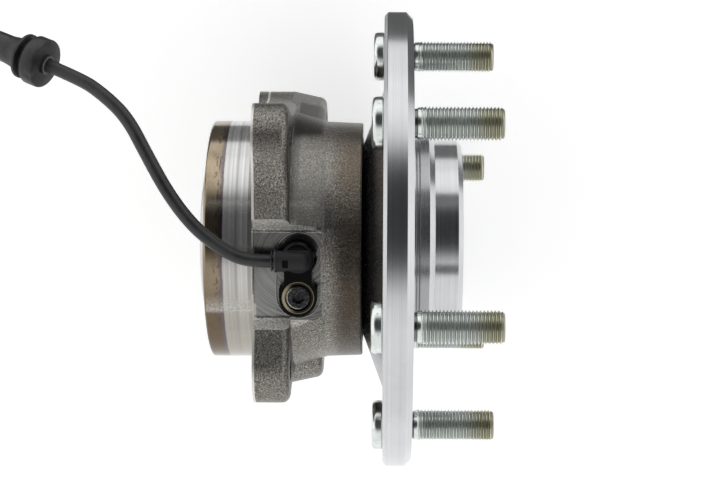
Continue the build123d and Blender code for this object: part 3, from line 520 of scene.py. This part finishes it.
one_stud = bmesh.new()
rib = [(stud_root, 0.0), (stud_root, 0.22), (stud_crest, 0.54), (stud_crest, 0.68), (stud_root, 1.0)]
rib_points = [one_stud.verts.new((r, neck_end + (step - thread_lead_in) * stud_pitch, 0)) for r, step in rib]
rib_edges = [one_stud.edges.new(pair) for pair in zip(rib_points, rib_points[1:])]
turns = math.ceil((stud_face - neck_end) / stud_pitch) + 3
bmesh.ops.spin(
    one_stud,
    geom=rib_points + rib_edges,
    cent=(0, 0, 0),
    axis=(0, 1, 0),
    dvec=(0, stud_pitch / turn_steps, 0),
    angle=math.tau * turns,
    steps=turn_steps * turns,
)
bmesh.ops.remove_doubles(one_stud, verts=one_stud.verts, dist=2e-6)
for level, outward in ((neck_end - 0.5 * mm, -1), (stud_face, 1)):
    bmesh.ops.bisect_plane(
        one_stud,
        geom=one_stud.verts[:] + one_stud.edges[:] + one_stud.faces[:],
        plane_co=(0, level, 0),
        plane_no=(0, outward, 0),
        clear_outer=True,
    )
for point in one_stud.verts:
    reach = math.hypot(point.co.x, point.co.z)
    tip_limit = tip_radius + (stud_face - point.co.y) * tip_slope
    run_out = max(0.0, 1 - (point.co.y - neck_end) / run_out_length)
    limit = min(max(reach, stud_root + run_out * (stud_neck - stud_root)), tip_limit)
    point.co.x *= limit / reach
    point.co.z *= limit / reach
bmesh.ops.holes_fill(one_stud, edges=[edge for edge in one_stud.edges if edge.is_boundary], sides=0)
bmesh.ops.recalc_face_normals(one_stud, faces=one_stud.faces)
shank = lathe([
    (0, head_seat), (5.9 * mm, head_seat), (5.9 * mm, stud_foot - 0.4 * mm), (5.05 * mm, stud_foot - 0.3 * mm),
    (5.05 * mm, stud_foot + 1.1 * mm), (stud_neck - 0.1 * mm, stud_foot + 1.2 * mm),
    (stud_neck, stud_foot + 1.35 * mm), (stud_neck, neck_end - 0.3 * mm), (5.2 * mm, neck_end + 0.3 * mm),
    (0, neck_end + 0.3 * mm),
])
join(one_stud, shank)
head = lathe([
    (0, head_start + 0.45 * mm), (5.2 * mm, head_start + 0.45 * mm), (5.8 * mm, head_start),
    (7.6 * mm, head_start), (8.3 * mm, head_start + 0.18 * mm), (8.85 * mm, head_start + 0.6 * mm),
    (9.15 * mm, head_start + 1.3 * mm), (9.2 * mm, head_start + 2.0 * mm), (9.2 * mm, head_seat - 0.5 * mm),
    (8.9 * mm, head_seat - 0.1 * mm), (0, head_seat - 0.02 * mm),
])
join(one_stud, head)
studs = bmesh.new()
for k in range(stud_count):
    angle = math.radians(first_stud + stud_step * k)
    copy = one_stud.copy()
    bmesh.ops.rotate(copy, verts=copy.verts, cent=(0, 0, 0), matrix=Matrix.Rotation(thread_turn * k, 3, "Y"))
    place = (-stud_circle * math.sin(angle), 0, stud_circle * math.cos(angle))
    bmesh.ops.translate(copy, verts=copy.verts, vec=place)
    join(studs, copy)
one_stud.free()
zinc = Finish("zinc_studs", (0.6, 0.62, 0.6), 0.2, 1.0)
x, y, z = zinc.millimetres()
around = (x * -1).math("ARCTAN2", z)
sector = (around - math.radians(first_stud - stud_step / 2)) / math.radians(stud_step)
sector = (sector - sector.math("FLOOR") - 0.5) * math.radians(stud_step)
reach, circle = x.hypot(z), stud_circle / mm
from_axis = (reach * reach + circle * circle - reach * sector.math("COSINE") * (2 * circle)) ** 0.5
threaded = y.above(59.4, 0.4)
spangle = zinc.noise(420, 3.0, 0.6)
rubbed = zinc.noise(900, 3.0, 0.6)
passivate = (y + (spangle - 0.5) * 10).above(79.0, 10.0)
# painted shade in the thread roots
thread_root_painted_shade = from_axis.below(5.34, 0.26) * threaded
worn = rubbed.below(0.33, 0.05) * y.below(46, 1.0)
# painted shade in the recess between each stud and the flange
undercut_painted_shade = y.band(55.5, 0.2, 57.4, 0.3) * from_axis.below(6.2, 0.2)
zinc.set("Base Color", zinc.tinted(
    zinc.mix(spangle.above(0.5, 0.6), (0.62, 0.66, 0.64), (0.76, 0.79, 0.77)),
    (passivate * 0.8, (0.50, 0.48, 0.33)),
    (thread_root_painted_shade * 0.42, (0.13, 0.14, 0.12)),
    (worn * 0.6, (0.16, 0.15, 0.14)),
    (undercut_painted_shade * 0.8, (0.06, 0.06, 0.06)),
))
zinc.set("Roughness", 0.14 + spangle * 0.10 + thread_root_painted_shade * 0.3)
zinc.set("Normal", zinc.bump(spangle + rubbed * 0.4, 0.000015))
stud_piece = finished("wheel_studs_threaded", studs, zinc, "hub")
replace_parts(stud_piece, "wheel_studs")

# The tone ring: a steel ring with teeth that pass under the sensor, pressed on the hub so that it turns
# with it. A phosphate coat makes it dull grey.
phosphate = Finish("phosphated_tone_ring", (0.22, 0.22, 0.22), 0.5, 1.0)
crystals = phosphate.noise(2200, 2.0)
phosphate.set("Base Color", phosphate.mix(crystals, (0.14, 0.14, 0.145), (0.30, 0.30, 0.295)))
phosphate.set("Roughness", 0.42 + crystals * 0.2)
phosphate.set("Normal", phosphate.bump(crystals, 0.00004))
dress("tone_ring", phosphate)

# The seals: pressed steel cases with black rubber lips bonded to them, and a steel slinger at the inboard
# end. The sensor's ring seal is the same rubber.
pressed = Finish("pressed_seal_case", (0.5, 0.5, 0.5), 0.3, 1.0)
x, y, z = pressed.millimetres()
drawn = pressed.noise(1.0, 3.0, 0.6, pressed.vector(X=x.hypot(z) * 2))
spots = pressed.noise(600, 2.0)
pressed.set("Base Color", pressed.mix(drawn, (0.36, 0.36, 0.36), (0.56, 0.56, 0.55)))
pressed.set("Roughness", 0.24 + spots * 0.18)
pressed.set("Normal", pressed.bump(drawn, 0.00002))
for name in ("outboard_seal_case", "inboard_seal_case", "inboard_slinger"):
    dress(name, pressed)
lip_rubber = Finish("seal_lip_rubber", (0.02, 0.02, 0.021), 0.5)
bloom = lip_rubber.noise(700, 3.0)
lip_rubber.set("Base Color", lip_rubber.mix(bloom, (0.016, 0.016, 0.017), (0.036, 0.035, 0.034)))
lip_rubber.set("Roughness", 0.42 + bloom * 0.2)
lip_rubber.set("Normal", lip_rubber.bump(bloom, 0.00003))
for name in ("outboard_seal_lip", "inboard_seal_lip", "sensor_o_ring"):
    dress(name, lip_rubber)

# The speed sensor: glossy black moulding with a lighter, drier cable outlet, over a brass compression bush
# and a dark zinc socket screw. Its tip is a steel-capped probe over the tone ring.
moulding = Finish("sensor_moulding", (0.015, 0.015, 0.017), 0.3)
x, y, z = moulding.millimetres()
spark = moulding.noise(2600, 2.0)
flow = moulding.noise(170, 3.0)
sideways = x - outlet_x
outlet = (sideways * sideways).below(15.5, 1.5) * z.above(50.4, 1.6) * y.below(20.0, 2.5)
window = x.band(0.3, 0.15, 3.1, 0.15) * y.band(10.8, 0.15, 12.8, 0.15) * z.above(50.0, 0.5)
black = moulding.mix(outlet, (0.001, 0.001, 0.0012), (0.026, 0.026, 0.028))
moulding.set("Base Color", moulding.mix(window, black, (0.0, 0.0, 0.0)))
moulding.set("Roughness", 0.14 + spark * 0.10 + outlet * 0.24 + flow * 0.08)
moulding.shader.inputs["Specular IOR Level"].default_value = 0.13
moulding.set("Normal", moulding.bump(spark + flow, 0.00004))
dress("sensor_body", moulding)
tip_steel = Finish("sensor_tip_cap", (0.5, 0.5, 0.5), 0.25, 1.0)
tip_haze = tip_steel.noise(1200, 2.0)
tip_steel.set("Roughness", 0.18 + tip_haze * 0.15)
tip_steel.set("Base Color", tip_steel.mix(tip_haze, (0.42, 0.42, 0.42), (0.58, 0.58, 0.57)))
dress("sensor_tip", tip_steel)
ear_x = 14.6
brass = Finish("brass_bush", (0.72, 0.58, 0.32), 0.25, 1.0)
x, y, z = brass.millimetres()
from_ear, from_sensor = x - ear_x, y - sensor_y
reach = from_ear.hypot(from_sensor)
swirl = brass.noise(1.0, 3.0, 0.6, brass.vector(X=reach * 4, Z=z * 3))
# painted light and shade: the bush is dark but for a painted lit side, with a painted highlight on its outer
# lip
toward_painted_light = (from_ear * 0.12 - from_sensor * 0.99) / reach
lip_painted_highlight = reach.above(5.4, 0.12) * z.above(46.0, 0.1)
brass.set("Base Color", brass.tinted(
    (0.035, 0.03, 0.022),
    (toward_painted_light.above(0.6, 0.7), brass.mix(swirl, (0.46, 0.38, 0.24), (0.70, 0.62, 0.44))),
    (lip_painted_highlight * 0.7, (0.34, 0.29, 0.19)),
))
brass.set("Roughness", 0.2 + swirl * 0.15)
brass.set("Normal", brass.bump(swirl, 0.00002))
dress("sensor_bush", brass)
dark_zinc = Finish("dark_zinc_screw", (0.04, 0.04, 0.042), 0.22, 1.0)
x, y, z = dark_zinc.millimetres()
pits = dark_zinc.noise(1500, 3.0)
from_ear, from_sensor = x - ear_x, y - sensor_y
# a painted highlight on one side of the screw's rim
screw_rim_painted_highlight = from_ear.hypot(from_sensor).above(3.7, 0.2) * (from_ear * 0.35 - from_sensor * 0.94).above(1.0, 3.0)
dark_zinc.set("Base Color", dark_zinc.tinted(
    dark_zinc.mix(pits.above(0.5, 0.4), (0.02, 0.02, 0.022), (0.08, 0.08, 0.083)),
    (screw_rim_painted_highlight * 0.8, (0.42, 0.41, 0.39)),
))
dark_zinc.set("Roughness", 0.10 + pits * 0.10)
dark_zinc.set("Normal", dark_zinc.bump(pits, 0.00022))
dress("sensor_screw", dark_zinc)

# The collar, grommet and sleeve: black rubber, satin where the mould was polished. The grommet is split on
# one side so that it snaps over the cable, and its groove takes the edge of a hole in the inner wing.
grommet_along = 14.0
grommet_way = (Vector(straight_to) - Vector(straight_from)).normalized()
grommet_at = Vector(straight_from) + grommet_way * grommet_along
split_way = (Vector((0, -1, 0)) + grommet_way * grommet_way.y).normalized()
across_split = grommet_way.cross(split_way)
rubber = Finish("grommet_rubber", (0.03, 0.03, 0.033), 0.42)
dust = rubber.noise(240, 4.0, 0.6)
skin = rubber.noise(2400, 2.0)


def measured(finish, way):
    """Distance in millimetres from the grommet's face centre along a direction."""
    values = {0: finish.place, 1: way}
    product = finish.node("ShaderNodeVectorMath", {"operation": "DOT_PRODUCT"}, values, "Value")
    return product * 1000 - way.dot(grommet_at)


outward, sideward, inward = (measured(rubber, way) for way in (split_way, across_split, grommet_way))
spread = outward.hypot(sideward)
near_face = inward.band(-2.0, 0.5, 8.0, 1.0)
split = (sideward * sideward).below(0.06, 0.04) * outward.above(1.5, 0.5) * near_face
nick = (sideward * sideward).below(1.3, 0.3) * outward.above(7.0, 0.2) * inward.band(0.9, 0.3, 3.6, 0.3)
halo = spread.band(2.75, 0.15, 3.3, 0.15) * inward.below(0.4, 0.2) * near_face
rubber.set("Base Color", rubber.tinted(
    rubber.mix(dust.above(0.55, 0.3), (0.010, 0.010, 0.012), (0.032, 0.031, 0.033)),
    (split.largest(nick), (0.001, 0.001, 0.001)),
    (halo * 0.8, (0.12, 0.115, 0.10)),
))
rubber.set("Roughness", 0.30 + dust * 0.2)
rubber.shader.inputs["Specular IOR Level"].default_value = 0.4
rubber.set("Normal", rubber.bump(skin + dust, 0.00005))
dress("connector_seal", rubber)
ribbed = Finish("collar_rubber", (0.012, 0.012, 0.013), 0.22)
soot = ribbed.noise(1400, 3.0)
ribbed.set("Base Color", ribbed.mix(soot, (0.006, 0.006, 0.007), (0.020, 0.020, 0.021)))
ribbed.set("Roughness", 0.16 + soot * 0.12)
ribbed.set("Normal", ribbed.bump(soot, 0.00003))
collar = lathe([(r * mm, y * mm) for r, y in (
    (2.42, 6.6), (3.1, 6.6), (3.55, 6.75), (3.75, 7.0), (3.55, 7.25), (3.1, 7.4), (3.1, 7.6), (3.75, 7.75),
    (4.05, 7.95), (4.15, 8.2), (4.05, 8.45), (3.8, 8.7), (2.42, 8.7), (2.42, 6.6),
)], 64)
bmesh.ops.translate(collar, verts=collar.verts, vec=(outlet_x * mm, 0, outlet_z * mm))
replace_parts(finished("cable_collar_ribbed", collar, ribbed, "housing", 50), "cable_collar")
grommet = lathe([(r * mm, y * mm) for r, y in (
    (2.4, -1.2), (3.2, -1.2), (3.5, -0.9), (3.5, 0.0), (8.2, 0.0), (8.6, 0.15), (8.8, 0.6), (8.8, 4.9),
    (8.6, 5.3), (8.2, 5.4), (5.9, 5.4), (5.9, 8.2), (7.8, 8.2), (8.1, 8.4), (8.1, 9.2), (7.8, 9.4), (6.7, 9.6),
    (6.2, 10.4), (5.8, 11.6), (5.45, 13.2), (5.2, 15.0), (5.1, 15.58), (2.4, 15.58), (2.4, -1.2),
)], 96)
turn_to_run = Vector((0, 1, 0)).rotation_difference(grommet_way).to_matrix()
bmesh.ops.rotate(grommet, verts=grommet.verts, cent=(0, 0, 0), matrix=turn_to_run)
bmesh.ops.translate(grommet, verts=grommet.verts, vec=grommet_at * mm)
grommet_piece = finished("cable_grommet_moulded", grommet, rubber, "housing", 40)
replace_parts(grommet_piece, "cable_grommet")
tube = Finish("sleeve_tube", (0.022, 0.022, 0.024), 0.22)
rub = tube.noise(1.0, 3.0, 0.6, tube.stretched((300, 90, 300)))
seam_side = measured(tube, across_split) - 1.6
seam = (seam_side * seam_side).below(0.05, 0.05)
tube_color = tube.mix(rub, (0.006, 0.006, 0.008), (0.018, 0.018, 0.021))
tube.set("Base Color", tube.mix(seam * 0.7, tube_color, (0.09, 0.09, 0.095)))
tube.set("Roughness", 0.12 + rub * 0.18)
tube.set("Normal", tube.bump(rub, 0.00006))
dress("cable_sleeve", tube)

# The connector: a two-way plug moulded in black nylon, with a latch of the same nylon and tinned pins. It
# lies beside the coil, at the cable's end.
plug_nylon = Finish("connector_nylon", (0.025, 0.025, 0.027), 0.4)
spark = plug_nylon.noise(2100, 2.0)
wear = plug_nylon.noise(150, 4.0)
plug_nylon.set("Base Color", plug_nylon.mix(wear.above(0.5, 0.4), (0.020, 0.020, 0.022), (0.038, 0.038, 0.040)))
plug_nylon.set("Roughness", 0.36 + spark * 0.14)
plug_nylon.set("Normal", plug_nylon.bump(spark, 0.00006))
dress("connector_shell", plug_nylon)
dress("connector_latch", plug_nylon)
tin = Finish("tinned_pins", (0.7, 0.69, 0.65), 0.25, 1.0)
matt = tin.noise(1800, 2.0)
tin.set("Base Color", tin.mix(matt, (0.60, 0.59, 0.56), (0.76, 0.75, 0.72)))
tin.set("Roughness", 0.18 + matt * 0.2)
dress("connector_pins", tin)
